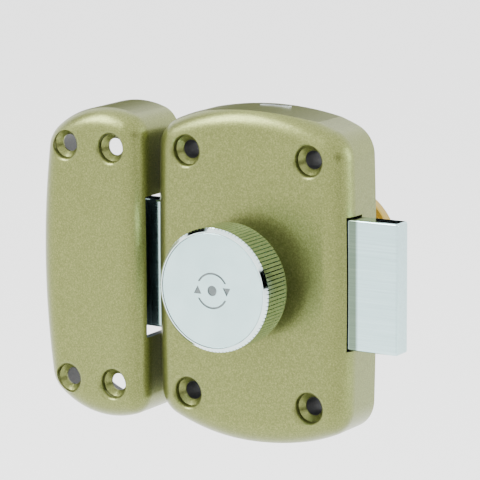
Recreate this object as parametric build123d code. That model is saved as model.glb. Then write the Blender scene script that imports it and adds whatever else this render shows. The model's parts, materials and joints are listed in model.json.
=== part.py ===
from build123d import *
from math import acos, cos, pi, radians, sin, sqrt, tan
import os

# Rim night latch: case with a knob-driven through bolt, key cylinder and box keeper.
#
# Frame: +X right, +Y into the door, +Z up. The origin is on the knob axis, in the
# plane where the case rests on the door. The rest pose has the bolt thrown to -X,
# into the keeper. All sizes are in millimetres.

# ---- driving dimensions -------------------------------------------------------

# case
CASE_W = 81.0
CASE_DEPTH = 24.0
CASE_APEX = 62.3
CASE_SHOULDER = 52.3
CASE_CORNER_X = 39.6
CASE_LAND_APEX = 61.0
CASE_LAND_R = 120.0
CORNER_R = 11.5
EDGE_R = 9.0
WALL = 3.0

# fixing holes of case and keeper
HOLE_DX = 51.0
HOLE_DZ = 90.0
HOLE_R = 3.4
SINK_R = 5.3
SINK_DEPTH = 1.1
SINK_LIP = 1.9
POST_R = 7.2
KEEPER_HOLE_DX = 20.0
KEEPER_HOLE_DZ = 88.5
KEEPER_HOLE_R = 3.2
KEEPER_SINK_R = 5.1
KEEPER_SINK_DEPTH = 0.9

# keeper; each side is its half width, its corner's x and z, and the corner's radius
KEEPER_X = -64.95
KEEPER_LEFT_SIDE = (22.8, 19.4, 46.9, 11.8)
KEEPER_RIGHT_SIDE = (22.35, 22.0, 53.6, 9.0)
KEEPER_DEPTH = 29.1
KEEPER_APEX = 57.8
KEEPER_EDGE_R = 8.5
KEEPER_PAD_R = 8.0
KEEPER_PAD_T = 5.4

# notch for the bolt in the keeper, open towards the door
KEEPER_NOTCH_TOP = 26.4
KEEPER_NOTCH_FRONT = 23.2

# tab of the back plate, hooked through a slot in the top wall
TAB_X = 1.5
TAB_W = 12.0
TAB_FRONT = -5.6
TAB_BACK = -3.6
TAB_FOOT = 52.0
TAB_TOP = 61.2
TAB_GAP = 0.3

# bolt and its gear
MODULE = 1.5
PINION_TEETH = 9
PRESSURE_ANGLE = 25.0
ADDENDUM = 0.8
DEDENDUM = 1.1
BACKLASH = 0.25
KNOB_TURN = 180.0
BOLT_LEFT = -60.0
BOLT_RIGHT = 59.25
BOLT_TOP = 24.7
BOLT_BOTTOM = -22.95
BOLT_FRONT = -19.0
BOLT_BACK = -11.0
BOLT_EDGE = 0.9
BOLT_GAP = 0.6
GUIDE_GAP = 0.3
GUIDE_X = 27.5
GUIDE_TOP = 28.7
GUIDE_BOTTOM = -27.0
TEETH_FRONT = -17.4
HUB_R = 6.4
HUB_BACK = -3.8

# leaf spring that clicks into the bolt's top edge
DETENT_X = 6.0
DETENT_HALF = 3.3
DETENT_DEPTH = 2.3
LEAF_T = 0.6
LEAF_W = 6.6
LEAF_FIXED_Z = 31.4
LEAF_SCREW_X = -18.0
LEAF_SCREW_R = 1.5
LEAF_SEAT = (-23.0, -9.0)
LEAF_SEAT_BACK = -8.5
LEAF_SEAT_TOP = 37.0

# knob
KNOB_R = 22.5
KNOB_FACE_Y = -47.4
KNOB_BEVEL = 1.2
KNOB_BACK_Y = -32.8
KNOB_FACE_R = 20.9
KNOB_NECK_R = 11.0
FLUTES = 96
FLUTE_DEPTH = 0.6
FLUTE_START = 0.4

# spindle
SPINDLE_R = 5.95
SPINDLE_SQUARE = 8.0
PINION_SQUARE = 6.0
SQUARE_BACK = -9.0
BUSH_R = 8.0
BUSH_BACK = -18.7
BOSS_R = 12.0
BOSS_BACK = -19.6
CLIP_FRONT = -18.5
CLIP_T = 0.5
GROOVE_R = 5.0

# door side
PLATE_T = 2.0
PLATE_HOLE_R = 6.6
PLATE_SCREW_DX = 66.0
PLATE_SCREW_DZ = 62.0
PLATE_SCREW_R = 1.5
PLATE_SCREW_HEAD_R = 2.9
PLATE_SCREW_BOSS_R = 3.8
DOOR_T = 42.0
CYLINDER_R = 16.0
CYLINDER_END = 50.0
ROSETTE_R = 25.0
PLUG_R = 7.0
PLUG_START = 3.0
CYLINDER_SCREW_X = 11.6
CYLINDER_SCREW_R = 1.9
CYLINDER_SCREW_HEAD_R = 3.8
PIN_R = 1.4
PIN_COUNT = 5
PIN_FIRST_Y = 40.0
PIN_PITCH = 4.3
FIT = 0.05

# turn of a revolved tool's seam, which keeps it off the walls it cuts
SEAM_TURN = 90.0

# ---- worked out ---------------------------------------------------------------

PITCH_R = MODULE * PINION_TEETH / 2
PITCH = pi * MODULE
TRAVEL = PITCH_R * radians(KNOB_TURN)
TIP_R = PITCH_R + ADDENDUM * MODULE
ROOT_R = PITCH_R - MODULE
RACK_FLOOR = -PITCH_R - DEDENDUM * MODULE
BOLT_Y = (BOLT_FRONT + BOLT_BACK) / 2


# ---- helpers ------------------------------------------------------------------

def front_plane(y):
    """Sketch plane across Y whose local x and y run along X and Z."""
    return Plane(origin=(0, y, 0), x_dir=(1, 0, 0), z_dir=(0, -1, 0))


def slab(sketch, y_front, y_back):
    """A sketch in X and Z, made solid between two depths."""
    return extrude(front_plane(y_back) * sketch, amount=y_back - y_front)


def rod(radius, y_front, y_back, x=0.0, z=0.0):
    """Round bar along Y."""
    return slab(Pos(x, z) * Circle(radius), y_front, y_back)


def ring(outer, inner, y_front, y_back, x=0.0, z=0.0):
    """Round tube along Y."""
    return slab(Pos(x, z) * (Circle(outer) - Circle(inner)), y_front, y_back)


def block(x0, x1, y0, y1, z0, z1):
    """Box between two corners."""
    centre = Pos((x0 + x1) / 2, (y0 + y1) / 2, (z0 + z1) / 2)
    return centre * Box(x1 - x0, y1 - y0, z1 - z0)


def cone(r_front, r_back, y_front, y_back, x=0.0, z=0.0):
    """Round cone along Y with a radius at each end."""
    profile = Polyline((0, y_front), (r_front, y_front), (r_back, y_back), (0, y_back), close=True)
    return Pos(x, 0, z) * revolve(Plane.XY * make_face(profile), axis=Axis.Y)


def turned(points):
    """Solid of revolution about Y from (radius, y) points."""
    return revolve(Plane.XY * make_face(Polyline(*points, close=True)), axis=Axis.Y)


def arched_outline(left, right, apex, inset):
    """Upright outline with bowed sides and arched ends, moved inwards by the inset.

    Each side gives its half width, its corner's x and z, and the corner's radius.
    """
    left_w, left_x, left_z, left_r = [value - inset for value in left]
    right_w, right_x, right_z, right_r = [value - inset for value in right]
    top = apex - inset
    face = make_face([
        ThreePointArc((-left_x, left_z), (0, top), (right_x, right_z)),
        ThreePointArc((right_x, right_z), (right_w, 0), (right_x, -right_z)),
        ThreePointArc((right_x, -right_z), (0, -top), (-left_x, -left_z)),
        ThreePointArc((-left_x, -left_z), (-left_w, 0), (-left_x, left_z)),
    ])
    face = fillet(face.vertices().sort_by(Axis.X)[:2], left_r)
    return fillet(face.vertices().sort_by(Axis.X)[-2:], right_r)


def land_outline(half_w, apex, radius):
    """Wider outline whose flatter arcs trim a land on top and bottom."""
    side = half_w + 5
    drop = radius - sqrt(radius ** 2 - side ** 2)
    low = apex - drop
    return make_face([
        ThreePointArc((-side, low), (0, apex), (side, low)),
        Line((side, low), (side, -low)),
        ThreePointArc((side, -low), (0, -apex), (-side, -low)),
        Line((-side, -low), (-side, low)),
    ])


def rounded_shell(outline_of, depth, edge_r):
    """Outside and inside of a cast shell with a rounded front edge."""
    outer = slab(outline_of(0), -depth, 0)
    front = outer.faces().sort_by(Axis.Y)[0]
    outer = fillet(front.edges(), edge_r)
    inner = slab(outline_of(WALL), WALL - depth, 0)
    inner_front = inner.faces().sort_by(Axis.Y)[0]
    inner = fillet(inner_front.edges(), edge_r - WALL)
    return outer, inner


def rectangle_of_points(dx, dz):
    """Corners of a centred rectangle."""
    return [(sx * dx / 2, sz * dz / 2) for sx in (-1, 1) for sz in (-1, 1)]


def screw_sink(x, z, front_y, sink_r, sink_depth, hole_r, length):
    """Tool that cuts a rounded-lip, countersunk through hole from the front."""
    lip_r = sink_r + SINK_LIP
    lip_y = front_y + SINK_LIP
    sink_y = lip_y + sink_depth
    bore_y = sink_y + sink_r - hole_r
    profile = make_face([
        Line((0, front_y - 1), (lip_r, front_y - 1)),
        Line((lip_r, front_y - 1), (lip_r, front_y)),
        RadiusArc((lip_r, front_y), (sink_r, lip_y), SINK_LIP),
        Line((sink_r, lip_y), (sink_r, sink_y)),
        Line((sink_r, sink_y), (hole_r, bore_y)),
        Line((hole_r, bore_y), (hole_r, front_y + length)),
        Line((hole_r, front_y + length), (0, front_y + length)),
        Line((0, front_y + length), (0, front_y - 1)),
    ])
    return Pos(x, 0, z) * Rot(0, SEAM_TURN, 0) * revolve(Plane.XY * profile, axis=Axis.Y)


# ---- case ---------------------------------------------------------------------

PLATE_SCREWS = rectangle_of_points(PLATE_SCREW_DX, PLATE_SCREW_DZ)


def case_outline(inset):
    """Front outline of the case, or the same moved inwards."""
    side = (CASE_W / 2, CASE_CORNER_X, CASE_SHOULDER, CORNER_R)
    return arched_outline(side, side, CASE_APEX, inset)


def tab_block(gap, z0, z1):
    """Upright of the back plate's tab, or its slot when grown by a gap."""
    half = TAB_W / 2 + gap
    return block(TAB_X - half, TAB_X + half, TAB_FRONT - gap, TAB_BACK + gap, z0, z1)


def bolt_window(x0, x1):
    """Tool that cuts a close window for the bolt through a side wall."""
    z0, z1 = BOLT_BOTTOM - BOLT_GAP, BOLT_TOP + BOLT_GAP
    return block(x0, x1, BOLT_FRONT - BOLT_GAP, BOLT_BACK + BOLT_GAP, z0, z1)


def case_cover():
    """Die-cast cover with screw posts, bolt guides, spindle boss and side windows."""
    outer, inner = rounded_shell(case_outline, CASE_DEPTH, EDGE_R)
    outer = outer & slab(land_outline(CASE_W / 2, CASE_LAND_APEX, CASE_LAND_R), -CASE_DEPTH, 0)
    cover = outer - inner
    inner_front = WALL - CASE_DEPTH
    fittings = rod(BOSS_R, inner_front - 1, BOSS_BACK)
    for x, z in rectangle_of_points(HOLE_DX, HOLE_DZ):
        fittings += rod(POST_R, inner_front - 1, -PLATE_T - FIT, x, z)
    for x, z in PLATE_SCREWS:
        fittings += rod(PLATE_SCREW_BOSS_R, inner_front - 1, -PLATE_T - FIT, x, z)
    for x0, x1 in ((1 - CASE_W / 2, -GUIDE_X), (GUIDE_X, CASE_W / 2 - 1)):
        for z0, z1 in ((BOLT_TOP + GUIDE_GAP, GUIDE_TOP), (GUIDE_BOTTOM, BOLT_BOTTOM - GUIDE_GAP)):
            fittings += block(x0, x1, inner_front - 1, -PLATE_T - FIT, z0, z1)
    fittings += block(*LEAF_SEAT, inner_front - 1, LEAF_SEAT_BACK, LEAF_FIXED_Z + 0.1, LEAF_SEAT_TOP)
    cover += fittings & outer
    cuts = [
        bolt_window(-CASE_W, EDGE_R - CASE_W / 2),
        bolt_window(CASE_W / 2 - EDGE_R, CASE_W),
        tab_block(TAB_GAP, TAB_FOOT - 2, CASE_APEX + 1),
        rod(BUSH_R, -CASE_DEPTH - 1, -16),
        Pos(LEAF_SCREW_X, BOLT_Y, LEAF_FIXED_Z) * Cylinder(LEAF_SCREW_R + FIT, 9),
    ]
    for x, z in PLATE_SCREWS:
        cuts.append(rod(PLATE_SCREW_R + FIT, -12, 0, x, z))
    for x, z in rectangle_of_points(HOLE_DX, HOLE_DZ):
        cuts.append(screw_sink(x, z, -CASE_DEPTH, SINK_R, SINK_DEPTH, HOLE_R, CASE_DEPTH + 1))
    return cover - cuts


def back_plate():
    """Steel plate that closes the case; its folded tab hooks into the top wall."""
    plate = slab(case_outline(WALL + 0.2), -PLATE_T, 0)
    plate += tab_block(0, TAB_FOOT, TAB_TOP)
    plate += block(TAB_X - TAB_W / 2, TAB_X + TAB_W / 2, TAB_FRONT, -1, TAB_FOOT, TAB_FOOT + 2)
    plate -= rod(PLATE_HOLE_R, -5, 1)
    for x, z in rectangle_of_points(HOLE_DX, HOLE_DZ):
        plate -= rod(HOLE_R, -5, 1, x, z)
    for x, z in PLATE_SCREWS:
        hole_r = PLATE_SCREW_R + 0.1
        plate -= rod(hole_r, -5, 1, x, z) + cone(hole_r, PLATE_SCREW_HEAD_R + 0.1, -1.4, 0, x, z)
    for x in (-CYLINDER_SCREW_X, CYLINDER_SCREW_X):
        hole_r = CYLINDER_SCREW_R + 0.2
        plate -= rod(hole_r, -5, 1, x) + cone(CYLINDER_SCREW_HEAD_R + 0.1, hole_r, -PLATE_T, -0.2, x)
    return plate


def back_plate_screws():
    """Four countersunk screws from the plate into the cover."""
    screws = []
    for x, z in PLATE_SCREWS:
        head = cone(PLATE_SCREW_R, PLATE_SCREW_HEAD_R, -1.4, 0, x, z)
        slot = block(x - 3, x + 3, -0.6, 0.5, z - 0.35, z + 0.35)
        screws.append(head + rod(PLATE_SCREW_R, -10, -1.3, x, z) - slot)
    return Compound(children=screws)


def spindle_bush():
    """Bush pressed in the case boss, which carries the spindle."""
    return ring(BUSH_R - FIT, SPINDLE_R + FIT, 0.1 - CASE_DEPTH, BUSH_BACK)


def detent_spring():
    """Leaf spring whose bump sits in a notch of the bolt's top edge."""
    rest = BOLT_TOP + 0.9
    path = Polyline(
        (-22, LEAF_FIXED_Z),
        (-10, LEAF_FIXED_Z),
        (0, rest),
        (DETENT_X - 2, rest),
        (DETENT_X, rest - 2),
        (DETENT_X + 2, rest),
        (DETENT_X + 4, rest + 1.3),
    )
    strip = Pos(0, -LEAF_T / 2 - FIT) * trace(path, line_width=LEAF_T)
    leaf = slab(strip, BOLT_Y - LEAF_W / 2, BOLT_Y + LEAF_W / 2)
    return leaf - Pos(LEAF_SCREW_X, BOLT_Y, LEAF_FIXED_Z) * Cylinder(LEAF_SCREW_R + 0.1, 4)


def detent_screw():
    """Small pan-head screw that holds the leaf spring."""
    head_z = LEAF_FIXED_Z - 1.7
    shank = Pos(0, 0, head_z + 3.3) * Cylinder(LEAF_SCREW_R, 5.6)
    head = Pos(0, 0, head_z) * Cylinder(2.8, 1.8)
    slot = Pos(0, 0, head_z - 0.8) * Box(0.7, 7, 0.9)
    return Pos(LEAF_SCREW_X, BOLT_Y, 0) * (shank + head - slot)


# ---- bolt ---------------------------------------------------------------------

def rack_tooth(x):
    """One rack tooth, pointing up to the pinion's pitch line and beyond."""
    slope = tan(radians(PRESSURE_ANGLE))
    half = PITCH / 4 - BACKLASH / 2
    tip_z = -PITCH_R + ADDENDUM * MODULE
    root_z = RACK_FLOOR
    tip = half - slope * (tip_z + PITCH_R)
    root = half + slope * (-PITCH_R - root_z)
    points = [(x - root, root_z - 0.5), (x - root, root_z), (x - tip, tip_z)]
    points += [(x + tip, tip_z), (x + root, root_z), (x + root, root_z - 0.5)]
    return make_face(Polyline(*points, close=True))


def bolt():
    """Through bolt with a window whose lower edge is a rack."""
    body = block(BOLT_LEFT, BOLT_RIGHT, BOLT_FRONT, BOLT_BACK, BOLT_BOTTOM, BOLT_TOP)
    body = fillet(body.edges(), BOLT_EDGE)
    right = TIP_R + BOLT_GAP
    left = -TRAVEL - right
    body -= block(left, right, BOLT_FRONT - 1, BOLT_BACK + 1, RACK_FLOOR, right)
    count = int((right - left) / PITCH) - 1
    first = PITCH / 2 - (count - 2) * PITCH
    for index in range(count):
        body += slab(rack_tooth(first + index * PITCH), TEETH_FRONT, BOLT_BACK - 0.4)
    for x in (DETENT_X, DETENT_X - TRAVEL):
        notch = make_face(Polyline(
            (x - DETENT_HALF, BOLT_TOP + 0.5),
            (x, BOLT_TOP - DETENT_DEPTH),
            (x + DETENT_HALF, BOLT_TOP + 0.5),
            close=True,
        ))
        body -= slab(notch, BOLT_FRONT - 1, BOLT_BACK + 1)
    return body


def tooth_flank(radius, flank):
    """Point of a pinion tooth's involute flank, on a tooth centred on -Z."""
    base_r = PITCH_R * cos(radians(PRESSURE_ANGLE))
    pitch_roll = tan(radians(PRESSURE_ANGLE)) - radians(PRESSURE_ANGLE)
    if radius > base_r:
        pressure = acos(base_r / radius)
    else:
        pressure = 0.0
    half = (PITCH / 4 - BACKLASH / 4) / PITCH_R + pitch_roll - (tan(pressure) - pressure)
    angle = -pi / 2 + flank * half
    return (radius * cos(angle), radius * sin(angle))


def drive_pinion():
    """Pinion on the spindle, with a square socket in front and a slotted hub behind."""
    base_r = PITCH_R * cos(radians(PRESSURE_ANGLE))
    radii = [ROOT_R - 0.5, base_r, (base_r + PITCH_R) / 2, PITCH_R, (PITCH_R + TIP_R) / 2, TIP_R]
    outline = [tooth_flank(r, -1) for r in radii]
    outline += [tooth_flank(r, 1) for r in reversed(radii)]
    tooth = make_face(Polyline(*outline, close=True))
    profile = Circle(ROOT_R)
    for index in range(PINION_TEETH):
        profile += Rot(0, 0, index * 360 / PINION_TEETH) * tooth
    gear = slab(profile, TEETH_FRONT + 0.2, BOLT_BACK - 0.3)
    gear += rod(HUB_R, BOLT_BACK - 0.4, HUB_BACK)
    socket = Rectangle(PINION_SQUARE + 2 * FIT, PINION_SQUARE + 2 * FIT)
    gear -= slab(socket, TEETH_FRONT - 1, SQUARE_BACK + 0.1)
    return gear - slab(dog_cross(4.3, 2.8), HUB_BACK - 2.9, 0)


def dog_cross(radius, width):
    """Cross of two bars with rounded ends, for the clutch dogs and their slots."""
    bars = Rectangle(2 * radius, width) + Rectangle(width, 2 * radius)
    return bars & Circle(radius)


# ---- knob ---------------------------------------------------------------------

def knob_body():
    """Chromed knob: bevelled head with a straight knurl, and a neck."""
    face_y = KNOB_FACE_Y
    bevel_y = face_y + KNOB_BEVEL
    head = turned([
        (0, face_y),
        (KNOB_R - KNOB_BEVEL, face_y),
        (KNOB_R - 0.1, bevel_y),
        (KNOB_R, bevel_y + 0.1),
        (KNOB_R, KNOB_BACK_Y - 0.6),
        (KNOB_R - 0.6, KNOB_BACK_Y),
        (18.5, KNOB_BACK_Y),
        (17.5, KNOB_BACK_Y - 4),
        (13.5, KNOB_BACK_Y - 4),
        (12.5, KNOB_BACK_Y),
        (KNOB_NECK_R, KNOB_BACK_Y + 1),
        (KNOB_NECK_R, -CASE_DEPTH - 0.6),
        (0, -CASE_DEPTH - 0.6),
    ])
    pitch = 2 * pi / FLUTES
    points = []
    for index in range(FLUTES):
        for share, radius in ((-0.32, KNOB_R + 0.2), (0.32, KNOB_R + 0.2), (0.5, KNOB_R - FLUTE_DEPTH)):
            angle = (index + share) * pitch
            points.append((radius * cos(angle), radius * sin(angle)))
    flutes_y = face_y + FLUTE_START
    flutes = slab(make_face(Polyline(*points, close=True)), flutes_y, KNOB_BACK_Y)
    smooth = rod(KNOB_R + 1, face_y - 1, flutes_y) + rod(KNOB_NECK_R + 2, KNOB_BACK_Y - 0.1, 0)
    head = head & (flutes + smooth)
    head -= rod(KNOB_FACE_R, face_y - 1, face_y + 1.2)
    head -= rod(4.2, face_y, face_y + 3.6)
    head -= rod(2.15, face_y, -40)
    socket = Rectangle(SPINDLE_SQUARE + 2 * FIT, SPINDLE_SQUARE + 2 * FIT)
    head -= slab(socket, -41.5, -20)
    return head


def knob_face():
    """Satin disc in the front of the knob, with an engraved turn mark."""
    disc = rod(KNOB_FACE_R - 0.1, KNOB_FACE_Y + 0.05, KNOB_FACE_Y + 1.15)
    front = disc.faces().sort_by(Axis.Y)[0]
    disc = fillet(front.edges(), 0.35)
    mark = Circle(6.6) - Circle(5.9) - Pos(-8, 0) * Rectangle(8, 6) - Pos(8, 0) * Rectangle(8, 6)
    arrow = make_face(Polyline((-1.6, 0), (1.6, 0), (0, 3.0), close=True))
    mark += Pos(6.0, 1.5) * Rot(0, 0, 180) * arrow
    mark += Pos(-6.0, -1.5) * arrow
    mark += Circle(1.9)
    return disc - slab(mark, KNOB_FACE_Y - 1, KNOB_FACE_Y + 0.35)


def knob_screw():
    """Socket-head screw under the knob's disc, into the spindle."""
    screw = rod(3.9, KNOB_FACE_Y + 1.25, KNOB_FACE_Y + 3.5) + rod(2.0, KNOB_FACE_Y + 3.4, -32)
    return screw - slab(RegularPolygon(1.7, 6), KNOB_FACE_Y, KNOB_FACE_Y + 2.6)


def spindle():
    """Knob spindle: square in the knob, round in the bush, small square in the pinion."""
    bar = slab(Rectangle(SPINDLE_SQUARE, SPINDLE_SQUARE), -41.4, -CASE_DEPTH)
    bar += rod(SPINDLE_R, -CASE_DEPTH - 0.5, TEETH_FRONT - 0.1)
    bar += slab(Rectangle(PINION_SQUARE, PINION_SQUARE), TEETH_FRONT - 1, SQUARE_BACK)
    bar -= ring(SPINDLE_R + 1, GROOVE_R, CLIP_FRONT - FIT, CLIP_FRONT + CLIP_T + FIT)
    return bar - rod(2.05, -42, -31)


def thrust_washer():
    """Washer between the knob's neck and the case."""
    return ring(10.0, SPINDLE_R + 0.1, -CASE_DEPTH - 0.55, -CASE_DEPTH - 0.05)


def spindle_clip():
    """Retaining clip in the spindle's groove."""
    clip = Circle(BUSH_R) - Circle(GROOVE_R + FIT) - Pos(0, -6) * Rectangle(5, 8)
    return slab(clip, CLIP_FRONT, CLIP_FRONT + CLIP_T)


# ---- keeper -------------------------------------------------------------------

def keeper_outline(inset):
    """Front outline of the keeper about its own centre, or the same moved inwards."""
    return arched_outline(KEEPER_LEFT_SIDE, KEEPER_RIGHT_SIDE, KEEPER_APEX, inset)


def keeper_box():
    """Hollow keeper, open at the back, with a notch for the bolt in its right wall."""
    wall_x = KEEPER_RIGHT_SIDE[0]
    outer, inner = rounded_shell(keeper_outline, KEEPER_DEPTH, KEEPER_EDGE_R)
    box = outer - inner
    notch = block(wall_x - 8, wall_x + 1, -KEEPER_NOTCH_FRONT, 1, -KEEPER_NOTCH_TOP, KEEPER_NOTCH_TOP)
    cuts = [notch]
    pads = []
    for x, z in rectangle_of_points(KEEPER_HOLE_DX, KEEPER_HOLE_DZ):
        pads.append(rod(KEEPER_PAD_R, 0.5 - KEEPER_DEPTH, KEEPER_PAD_T - KEEPER_DEPTH, x, z) & outer)
        sizes = (KEEPER_SINK_R, KEEPER_SINK_DEPTH, KEEPER_HOLE_R, KEEPER_PAD_T + 1)
        cuts.append(screw_sink(x, z, -KEEPER_DEPTH, *sizes))
    return Pos(KEEPER_X, 0, 0) * ((box + pads) - cuts)


# ---- key cylinder -------------------------------------------------------------

def pin_ys():
    """Depths of the pin chambers."""
    return [PIN_FIRST_Y - index * PIN_PITCH for index in range(PIN_COUNT)]


def cylinder_body():
    """Round cylinder housing through the door, with the pin chambers on top."""
    body = rod(CYLINDER_R, 0, CYLINDER_END)
    rim = body.faces().sort_by(Axis.Y)[-1]
    body = chamfer(rim.edges(), 1.0)
    body -= rod(PLUG_R + FIT, -1, CYLINDER_END + 1)
    body -= rod(9.0, -1, 6.0)
    body -= rod(PLUG_R + 1.6, CYLINDER_END - 2.0, CYLINDER_END + 1)
    for y in pin_ys():
        body -= Pos(0, y, 12) * Cylinder(PIN_R + FIT, 16)
    last = pin_ys()[-1]
    body -= block(-1.95, 1.95, last - 2.5, PIN_FIRST_Y + 2.5, 14.1, CYLINDER_R + 1)
    for x in (-CYLINDER_SCREW_X, CYLINDER_SCREW_X):
        body -= rod(CYLINDER_SCREW_R + FIT, -1, 12, x)
    return body


def chamber_cover():
    """Strip that closes the pin chambers."""
    last = pin_ys()[-1]
    return block(-1.9, 1.9, last - 2.45, PIN_FIRST_Y + 2.45, 14.15, 15.6)


def cylinder_rosette():
    """Round rosette between the cylinder's head and the door."""
    return turned([
        (CYLINDER_R + FIT, DOOR_T),
        (ROSETTE_R - 0.4, DOOR_T),
        (ROSETTE_R, DOOR_T + 0.4),
        (ROSETTE_R, DOOR_T + 4.0),
        (ROSETTE_R - 5.5, CYLINDER_END - 0.6),
        (CYLINDER_R + 1.2, CYLINDER_END - 0.6),
        (CYLINDER_R + FIT, CYLINDER_END - 1.4),
    ])


def cylinder_screws():
    """Two countersunk screws from the back plate into the cylinder."""
    screws = []
    for x in (-CYLINDER_SCREW_X, CYLINDER_SCREW_X):
        screw = cone(CYLINDER_SCREW_HEAD_R, CYLINDER_SCREW_R, -PLATE_T, -0.2, x)
        screw += rod(CYLINDER_SCREW_R, -0.4, 11, x)
        screws.append(screw - block(x - 4, x + 4, -PLATE_T - 1, -PLATE_T + 0.7, -0.4, 0.4))
    return Compound(children=screws)


def cylinder_plug():
    """Key plug with keyway, pin chambers and a bore for the clutch."""
    plug = rod(PLUG_R, PLUG_START, CYLINDER_END)
    plug += rod(PLUG_R + 1.5, CYLINDER_END - 1.95, CYLINDER_END)
    plug -= rod(5.0, PLUG_START - 1, 16.0)
    plug -= rod(PLUG_R + 1, 4.5, 5.7) - rod(6.2, 4, 6)
    plug -= block(-1.1, 1.1, 15, CYLINDER_END + 1, -5.6, 1.2)
    plug -= block(-0.4, 1.6, 15, CYLINDER_END + 1, -2.6, -1.4)
    plug -= block(-0.6, 0.6, 15, CYLINDER_END + 1, 1.0, 3.4)
    for y in pin_ys():
        plug -= Pos(0, y, 4.6) * Cylinder(PIN_R + FIT, 7.2)
    return plug


def plug_clip():
    """Circlip that holds the plug in the housing."""
    clip = Circle(8.6) - Circle(6.25) - Pos(0, -7) * Rectangle(5, 5)
    return slab(clip, 4.6, 5.6)


def key_pin(index):
    """Lower pin with a conical tip, its flat top just under the shear line."""
    length = 5.2 - 0.2 * ((2 * index) % PIN_COUNT)
    top = 6.82
    y = pin_ys()[index]
    barrel = Pos(0, y, top - length / 2 + 0.5) * Cylinder(PIN_R, length - 1.0)
    tip = Pos(0, y, top - length + 0.5) * Cone(0.5, PIN_R, 1.0)
    return barrel + tip


def driver_pin(index):
    """Upper pin, its bottom just above the shear line."""
    return Pos(0, pin_ys()[index], 8.75) * Cylinder(PIN_R, 3.2)


def coil_spring(radius, wire_r, length, turns):
    """Coil spring along +Z from the origin."""
    height = length - 2 * wire_r
    helix = Pos(0, 0, wire_r) * Helix(pitch=height / turns, height=height, radius=radius)
    section = Plane(helix @ 0, z_dir=helix % 0) * Circle(wire_r)
    return sweep(section, path=helix)


def pin_spring(index):
    """Spring over a driver pin."""
    return Pos(0, pin_ys()[index], 10.4) * coil_spring(1.05, 0.16, 3.7, 5)


# ---- clutch -------------------------------------------------------------------

def coupler():
    """Clutch: cross dog, flange and square stem that slides in the plug."""
    dog = slab(dog_cross(4.0, 2.4), -3.2, -0.5)
    flange = rod(5.4, -0.6, 1.0)
    stem = slab(Rectangle(4, 4), 0.9, 11.4) + rod(2.0, 11.3, 12.5) + rod(2.6, 12.4, 14.0)
    return dog + flange + stem


def coupler_guide():
    """Disc staked in the plug, with a square hole for the stem."""
    return rod(5.0 - FIT, PLUG_START, 5.5) - slab(Rectangle(4.12, 4.12), 2, 7)


def coupler_clip():
    """Clip in the stem's groove, against which the spring pushes."""
    clip = Circle(4.4) - Circle(2.05) - Pos(0, -3) * Rectangle(3, 4)
    return slab(clip, 11.5, 12.3)


def coupler_spring():
    """Spring that draws the clutch out of the pinion."""
    return Pos(0, 5.55, 0) * Rot(-90, 0, 0) * coil_spring(3.55, 0.3, 5.9, 4)


# ---- build --------------------------------------------------------------------

def build():
    """Every node of the latch by name."""
    nodes = {
        "case_cover": case_cover(),
        "back_plate": back_plate(),
        "back_plate_screws": back_plate_screws(),
        "spindle_bush": spindle_bush(),
        "detent_spring": detent_spring(),
        "detent_screw": detent_screw(),
        "bolt": bolt(),
        "drive_pinion": drive_pinion(),
        "knob_body": knob_body(),
        "knob_face": knob_face(),
        "knob_screw": knob_screw(),
        "spindle": spindle(),
        "thrust_washer": thrust_washer(),
        "spindle_clip": spindle_clip(),
        "keeper_box": keeper_box(),
        "cylinder_body": cylinder_body(),
        "chamber_cover": chamber_cover(),
        "cylinder_rosette": cylinder_rosette(),
        "cylinder_screws": cylinder_screws(),
        "cylinder_plug": cylinder_plug(),
        "plug_clip": plug_clip(),
        "coupler": coupler(),
        "coupler_guide": coupler_guide(),
        "coupler_clip": coupler_clip(),
        "coupler_spring": coupler_spring(),
    }
    for index in range(PIN_COUNT):
        nodes[f"key_pin_{index + 1}"] = key_pin(index)
        nodes[f"driver_pin_{index + 1}"] = driver_pin(index)
        nodes[f"pin_spring_{index + 1}"] = pin_spring(index)
    return nodes


os.makedirs("parts", exist_ok=True)
for name, shape in build().items():
    export_step(shape, f"parts/{name}.step")
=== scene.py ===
import json
from math import radians

import bpy
from mathutils import Matrix, Vector


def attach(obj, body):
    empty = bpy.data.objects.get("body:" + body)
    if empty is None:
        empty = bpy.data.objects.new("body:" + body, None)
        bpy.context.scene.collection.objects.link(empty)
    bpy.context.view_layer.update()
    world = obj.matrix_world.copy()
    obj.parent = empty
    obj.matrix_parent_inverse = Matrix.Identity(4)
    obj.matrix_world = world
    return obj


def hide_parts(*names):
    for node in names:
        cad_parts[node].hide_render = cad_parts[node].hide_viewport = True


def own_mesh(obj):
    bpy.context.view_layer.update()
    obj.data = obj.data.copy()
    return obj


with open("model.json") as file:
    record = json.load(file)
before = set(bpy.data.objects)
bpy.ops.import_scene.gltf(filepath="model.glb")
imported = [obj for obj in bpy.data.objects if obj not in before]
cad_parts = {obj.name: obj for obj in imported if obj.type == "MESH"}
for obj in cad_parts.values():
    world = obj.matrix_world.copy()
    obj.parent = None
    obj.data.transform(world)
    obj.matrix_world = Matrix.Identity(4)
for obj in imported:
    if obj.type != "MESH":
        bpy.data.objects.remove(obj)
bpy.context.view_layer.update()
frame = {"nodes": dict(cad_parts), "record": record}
nodes = frame["nodes"]

MM = 0.001


# ---- small helpers ------------------------------------------------------------

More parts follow.
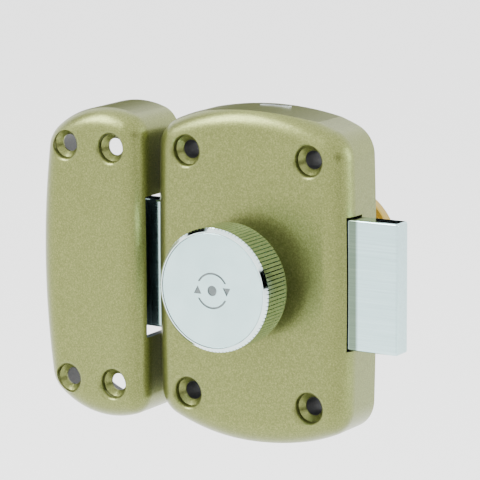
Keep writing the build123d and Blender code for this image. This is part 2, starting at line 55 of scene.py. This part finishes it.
class Shader:
    """A procedural material under construction, with its node tree and its shader."""

    def __init__(self, name, **settings):
        self.material = bpy.data.materials.new(name)
        self.material.use_nodes = True
        self.tree = self.material.node_tree
        self.bsdf = self.tree.nodes["Principled BSDF"]
        for socket, value in settings.items():
            self.bsdf.inputs[socket.replace("_", " ")].default_value = value
        self.coords = self.node("ShaderNodeTexCoord").outputs["Object"]

    def node(self, kind, **attributes):
        made = self.tree.nodes.new(kind)
        for key, value in attributes.items():
            setattr(made, key, value)
        return made

    def link(self, source, target):
        self.tree.links.new(source, target)

    def stretched(self, scale):
        """Object coordinates scaled per axis, for grain with a direction."""
        mapping = self.node("ShaderNodeMapping")
        mapping.inputs["Scale"].default_value = scale
        self.link(self.coords, mapping.inputs["Vector"])
        return mapping.outputs["Vector"]

    def noise(self, scale, detail=3.0, roughness=0.5, vector=None):
        made = self.node("ShaderNodeTexNoise")
        made.inputs["Scale"].default_value = scale
        made.inputs["Detail"].default_value = detail
        made.inputs["Roughness"].default_value = roughness
        self.link(vector or self.coords, made.inputs["Vector"])
        return made.outputs["Fac"]

    def ramp(self, factor, stops):
        """Colours at positions along a factor."""
        made = self.node("ShaderNodeValToRGB")
        elements = made.color_ramp.elements
        while len(elements) < len(stops):
            elements.new(0.5)
        for element, (position, colour) in zip(elements, stops):
            element.position = position
            element.color = (*colour, 1)
        self.link(factor, made.inputs["Fac"])
        return made.outputs["Color"]

    def range(self, factor, low, high, start=0.0, end=1.0):
        """A factor from start to end mapped between two values, and held beyond them."""
        made = self.node("ShaderNodeMapRange")
        made.inputs["From Min"].default_value = start
        made.inputs["From Max"].default_value = end
        made.inputs["To Min"].default_value = low
        made.inputs["To Max"].default_value = high
        self.link(factor, made.inputs["Value"])
        return made.outputs["Result"]

    def math(self, operation, *values):
        """A math node on numbers or on other nodes' results."""
        made = self.node("ShaderNodeMath", operation=operation)
        for socket, value in zip(made.inputs, values):
            if isinstance(value, bpy.types.NodeSocket):
                self.link(value, socket)
            else:
                socket.default_value = value
        return made.outputs["Value"]

    def mix(self, factor, first, second):
        """One colour or the other by a factor."""
        made = self.node("ShaderNodeMix", data_type="RGBA")
        self.link(factor, made.inputs["Factor"])
        self.link(first, made.inputs[6])
        self.link(second, made.inputs[7])
        return made.outputs[2]

    def colour(self, source):
        self.link(source, self.bsdf.inputs["Base Color"])

    def roughness(self, source):
        self.link(source, self.bsdf.inputs["Roughness"])

    def bump(self, height, strength, distance):
        """Adds relief on top of any relief already there."""
        made = self.node("ShaderNodeBump")
        made.inputs["Strength"].default_value = strength
        made.inputs["Distance"].default_value = distance
        self.link(height, made.inputs["Height"])
        normal = self.bsdf.inputs["Normal"]
        if normal.is_linked:
            self.link(normal.links[0].from_socket, made.inputs["Normal"])
        self.link(made.outputs["Normal"], normal)


# ---- materials ----------------------------------------------------------------

LACQUER_DARK = (0.098, 0.112, 0.026)
LACQUER = (0.132, 0.151, 0.040)
LACQUER_LIGHT = (0.200, 0.212, 0.068)
# near-black colours painted as shade on the inside of the shells
INSIDE_SHADE_DARK = (0.014, 0.015, 0.017)
INSIDE_SHADE_LIGHT = (0.035, 0.036, 0.038)
FLAKE_SCALE = 1900
NARROWING_DEPTH = 9 * MM
FRONT_SHARE = 0.89


def painted_shade_inside(s, centre_x, half_x, apex, bow, corner, front_y):
    """1 on the inside of an arched shell, where shade is painted, and 0 on its outside.

    A surface belongs to the inside if it lies behind front_y and either faces the
    middle or lies within a test shape through the middle of the walls. The test shape
    reaches half_x to each side and apex up and down, less bow times x squared, and x
    and z together reach corner. It narrows towards the front. Surfaces that face the
    door are inside as well.
    """
    place = s.node("ShaderNodeSeparateXYZ")
    s.link(s.coords, place.inputs["Vector"])
    facing = s.node("ShaderNodeSeparateXYZ")
    s.link(s.node("ShaderNodeNewGeometry").outputs["Normal"], facing.inputs["Vector"])
    x, y, z = (place.outputs[axis] for axis in "XYZ")
    x = s.math("SUBTRACT", x, centre_x)
    outwards = s.math("ADD", s.math("MULTIPLY", x, facing.outputs["X"]),
                      s.math("MULTIPLY", z, facing.outputs["Z"]))
    inwards = s.math("LESS_THAN", outwards, -1 * MM)
    x = s.math("ABSOLUTE", x)
    z = s.math("ABSOLUTE", z)
    across = s.math("DIVIDE", x, half_x)
    arch = s.math("MULTIPLY", s.math("MULTIPLY", x, x), bow)
    along = s.math("DIVIDE", s.math("ADD", z, arch), apex)
    diagonal = s.math("DIVIDE", s.math("ADD", x, z), corner)
    outermost = s.math("MAXIMUM", s.math("MAXIMUM", across, along), diagonal)
    share = s.range(y, FRONT_SHARE, 1.0, front_y, front_y + NARROWING_DEPTH)
    within = s.math("LESS_THAN", outermost, share)
    behind = s.math("GREATER_THAN", y, front_y)
    hidden = s.math("MULTIPLY", behind, s.math("MAXIMUM", within, inwards))
    return s.math("MAXIMUM", hidden, s.math("GREATER_THAN", facing.outputs["Y"], 0.3))


def bronze_lacquer(name, **shell):
    """Champagne metallic lacquer outside; inside, rough and coloured near-black as painted
    shade.
    """
    s = Shader(name, Coat_Weight=0.2, Coat_Roughness=0.3)
    inside = painted_shade_inside(s, **shell)
    flakes = s.noise(FLAKE_SCALE, detail=2.0, roughness=0.7)
    paint = s.ramp(flakes, [(0.3, LACQUER_DARK), (0.5, LACQUER), (0.72, LACQUER_LIGHT)])
    # painted shade: the inside of the shell is coloured near-black, standing in for the
    # shade within it
    inside_shade = s.ramp(s.noise(900, detail=4.0), [(0.3, INSIDE_SHADE_DARK), (0.8, INSIDE_SHADE_LIGHT)])
    s.colour(s.mix(inside, paint, inside_shade))
    s.link(s.range(inside, 0.8, 0.1), s.bsdf.inputs["Metallic"])
    s.roughness(s.math("ADD", s.range(s.noise(60), 0.30, 0.36), s.range(inside, 0.0, 0.3)))
    s.bump(s.noise(700, detail=1.0), 0.25, 0.0002)
    s.bump(flakes, 0.12, 0.0001)
    return s.material


def plated(name, colour, roughness, grain=900, relief=0.05):
    """Smooth plated metal with faint clouding and micro-scratches."""
    s = Shader(name, Metallic=1.0)
    cloud = s.noise(90, detail=4.0)
    dark = tuple(0.92 * c for c in colour)
    s.colour(s.ramp(cloud, [(0.3, dark), (0.7, colour)]))
    s.roughness(s.range(cloud, roughness * 0.8, roughness * 1.2))
    s.bump(s.noise(grain, detail=2.0), relief, 0.0001)
    return s.material


# grain scales per axis, finest across the direction of the grain
ALONG_X = (25, 1800, 1800)
AROUND_Y = (40, 2400, 40)


def brushed(name, colour, roughness, scale, relief=0.12):
    """Metal with fine grain in one direction, from brushing or turning."""
    s = Shader(name, Metallic=1.0)
    grain = s.noise(1.0, detail=4.0, roughness=0.6, vector=s.stretched(scale))
    dark = tuple(0.84 * c for c in colour)
    s.colour(s.ramp(grain, [(0.3, dark), (0.7, colour)]))
    s.roughness(s.range(grain, roughness * 0.75, roughness * 1.3))
    s.bump(grain, relief, 0.0001)
    return s.material


# painted reflection: between these x positions the bolt's face is coloured dark, standing
# in for the case side reflected in it
REFLECTION_BAND_FROM = 37.5 * MM
REFLECTION_BAND_FULL = 40.0 * MM
REFLECTION_BAND_FADES = 42.3 * MM
REFLECTION_BAND_ENDS = 43.5 * MM


def bolt_steel():
    """Brushed steel, with a painted dark reflection of the case side in a narrow band
    where the bolt leaves the case.
    """
    s = Shader("brushed_bolt_steel", Metallic=1.0)
    grain = s.noise(1.0, detail=4.0, roughness=0.6, vector=s.stretched(ALONG_X))
    steel = s.ramp(grain, [(0.3, (0.38, 0.54, 0.55)), (0.7, (0.48, 0.67, 0.68))])
    # dark green painted reflection of the case side, used in the band beside the case
    painted_reflection = s.ramp(grain, [(0.3, (0.09, 0.13, 0.095)), (0.7, (0.13, 0.18, 0.13))])
    axes = s.node("ShaderNodeSeparateXYZ")
    s.link(s.coords, axes.inputs["Vector"])
    inner_side = s.range(axes.outputs["X"], 1.0, 0.0, REFLECTION_BAND_FROM, REFLECTION_BAND_FULL)
    outer_side = s.range(axes.outputs["X"], 0.0, 1.0, REFLECTION_BAND_FADES, REFLECTION_BAND_ENDS)
    s.colour(s.mix(s.math("MAXIMUM", outer_side, inner_side), painted_reflection, steel))
    s.roughness(s.range(grain, 0.09, 0.16))
    s.bump(grain, 0.12, 0.0001)
    return s.material


MARK_SURFACE_Y = -47.2 * MM


def marked_face():
    """Satin chrome turned in fine circles, with dark paint in the engraved mark."""
    s = Shader("satin_chrome", Metallic=1.0)
    rings = s.node("ShaderNodeTexWave", wave_type="RINGS", rings_direction="Y")
    rings.inputs["Scale"].default_value = 900
    rings.inputs["Distortion"].default_value = 1.5
    s.link(s.coords, rings.inputs["Vector"])
    satin = s.ramp(s.noise(120), [(0.3, (0.43, 0.61, 0.61)), (0.7, (0.48, 0.67, 0.67))])
    axes = s.node("ShaderNodeSeparateXYZ")
    s.link(s.coords, axes.inputs["Vector"])
    engraved = s.math("GREATER_THAN", axes.outputs["Y"], MARK_SURFACE_Y)
    paint = s.ramp(s.noise(800), [(0.3, (0.10, 0.12, 0.12)), (0.7, (0.16, 0.18, 0.18))])
    s.colour(s.mix(engraved, satin, paint))
    s.roughness(s.range(rings.outputs["Fac"], 0.22, 0.30))
    s.bump(rings.outputs["Fac"], 0.03, 0.00005)
    return s.material


FINISHES = {
    "bright_chrome": plated("bright_chrome", (0.60, 0.72, 0.71), 0.07),
    "satin_chrome": marked_face(),
    "brushed_bolt_steel": bolt_steel(),
    "zinc_steel": plated("zinc_steel", (0.72, 0.77, 0.79), 0.28, grain=500, relief=0.1),
    "turned_steel": brushed("turned_steel", (0.54, 0.55, 0.56), 0.28, AROUND_Y),
    "spring_steel": plated("spring_steel", (0.34, 0.34, 0.35), 0.30),
    "brass": brushed("brass", (0.74, 0.56, 0.24), 0.22, AROUND_Y),
    "gold_brass": plated("gold_brass", (0.33, 0.235, 0.045), 0.20),
}
LACQUERED = {
    "case_cover": bronze_lacquer("bronze_lacquer_case", centre_x=0, half_x=39 * MM,
                                 apex=60.6 * MM, bow=6.4, corner=84.5 * MM,
                                 front_y=-18.6 * MM),
    "keeper_box": bronze_lacquer("bronze_lacquer_keeper", centre_x=-65.1 * MM,
                                 half_x=18.7 * MM, apex=57 * MM, bow=32,
                                 corner=62.5 * MM, front_y=-23.8 * MM),
}
for entry in frame["record"]["subparts"]:
    name = entry["node"]
    materials = nodes[name].data.materials
    materials.clear()
    materials.append(LACQUERED.get(name) or FINISHES[entry["material_slot"]])


# ---- spring that moves with the plug --------------------------------------------


def clutch_spring():
    """The clutch spring, a copy of the CAD part with its own mesh, carried by the plug."""
    cad = nodes["coupler_spring"]
    spring = cad.copy()
    spring.data = cad.data.copy()
    spring.name = "clutch_spring"
    bpy.context.scene.collection.objects.link(spring)
    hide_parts("coupler_spring")
    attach(spring, "plug")
    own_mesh(spring)


clutch_spring()


# ---- studio -------------------------------------------------------------------

FLOOR_Z = -0.30
FLOOR_RADIUS = 12
WORLD_STRENGTH = 3.0


def studio_floor():
    """Plain pale floor, well below the object."""
    bpy.ops.mesh.primitive_circle_add(vertices=96, radius=FLOOR_RADIUS, fill_type="NGON",
                                      location=(0, 0, FLOOR_Z))
    floor = bpy.context.object
    floor.name = "studio_floor"
    s = Shader("floor_white", Base_Color=(0.93, 0.93, 0.93, 1), Roughness=0.7)
    floor.data.materials.append(s.material)


def area_light(name, location, size, power, colour=(1, 1, 1)):
    """Rectangular softbox aimed at the origin."""
    data = bpy.data.lights.new(name, "AREA")
    data.shape = "RECTANGLE"
    data.size, data.size_y = size
    data.energy = power
    data.color = colour
    light = bpy.data.objects.new(name, data)
    light.location = location
    light.rotation_euler = (-Vector(location)).to_track_quat("-Z", "Y").to_euler()
    bpy.context.scene.collection.objects.link(light)


# dark cards of the studio: direction from the object, and the cosines of the angles
# from it at which a card's edge begins and at which the card is fully dark
DARK_CARDS = [
    ((-0.505, 0.843, 0.188), 0.94, 0.98),
    ((-0.789, -0.008, 0.614), 0.96, 0.98),
    ((0.81, -0.53, 0.17), 0.94, 0.96),
]


def studio_world():
    """Bright even surroundings with a few dark cards for the metal to reflect."""
    world = bpy.data.worlds.new("studio")
    world.use_nodes = True
    tree = world.node_tree
    background = tree.nodes["Background"]
    background.inputs["Strength"].default_value = WORLD_STRENGTH
    direction = tree.nodes.new("ShaderNodeTexCoord").outputs["Generated"]
    light = None
    for axis, edge_cosine, dark_cosine in DARK_CARDS:
        dot = tree.nodes.new("ShaderNodeVectorMath")
        dot.operation = "DOT_PRODUCT"
        dot.inputs[1].default_value = axis
        tree.links.new(direction, dot.inputs[0])
        edge = tree.nodes.new("ShaderNodeMapRange")
        edge.inputs["From Min"].default_value = edge_cosine
        edge.inputs["From Max"].default_value = dark_cosine
        edge.inputs["To Min"].default_value = 1.0
        edge.inputs["To Max"].default_value = 0.0
        tree.links.new(dot.outputs["Value"], edge.inputs["Value"])
        if light is None:
            light = edge.outputs["Result"]
        else:
            both = tree.nodes.new("ShaderNodeMath")
            both.operation = "MULTIPLY"
            tree.links.new(light, both.inputs[0])
            tree.links.new(edge.outputs["Result"], both.inputs[1])
            light = both.outputs["Value"]
    tree.links.new(light, background.inputs["Color"])
    bpy.context.scene.world = world


SENSOR_WIDTH_MM = 36.0
LENS_MM = 241.24
CAMERA_EYE = Vector((583.25, -999.5, 232.6)) * MM
CAMERA_TARGET = Vector((-2.331, -24.0, 14.265)) * MM
CAMERA_ROLL = radians(-0.343)


def photo_camera():
    """Long lens from the right front, a little above."""
    data = bpy.data.cameras.new("camera")
    data.sensor_width = SENSOR_WIDTH_MM
    data.lens = LENS_MM
    data.clip_end = 100
    camera = bpy.data.objects.new("camera", data)
    look = (CAMERA_TARGET - CAMERA_EYE).to_track_quat("-Z", "Y").to_matrix().to_4x4()
    roll = Matrix.Rotation(CAMERA_ROLL, 4, "Z")
    camera.matrix_world = Matrix.Translation(CAMERA_EYE) @ look @ roll
    bpy.context.scene.collection.objects.link(camera)
    bpy.context.scene.camera = camera


studio_floor()
studio_world()
area_light("key", location=(-0.9, -0.7, 1.2), size=(0.7, 0.7), power=40)
area_light("fill", location=(1.3, 0.5, 0.3), size=(0.6, 0.9), power=12,
           colour=(0.86, 1.0, 0.9))
photo_camera()
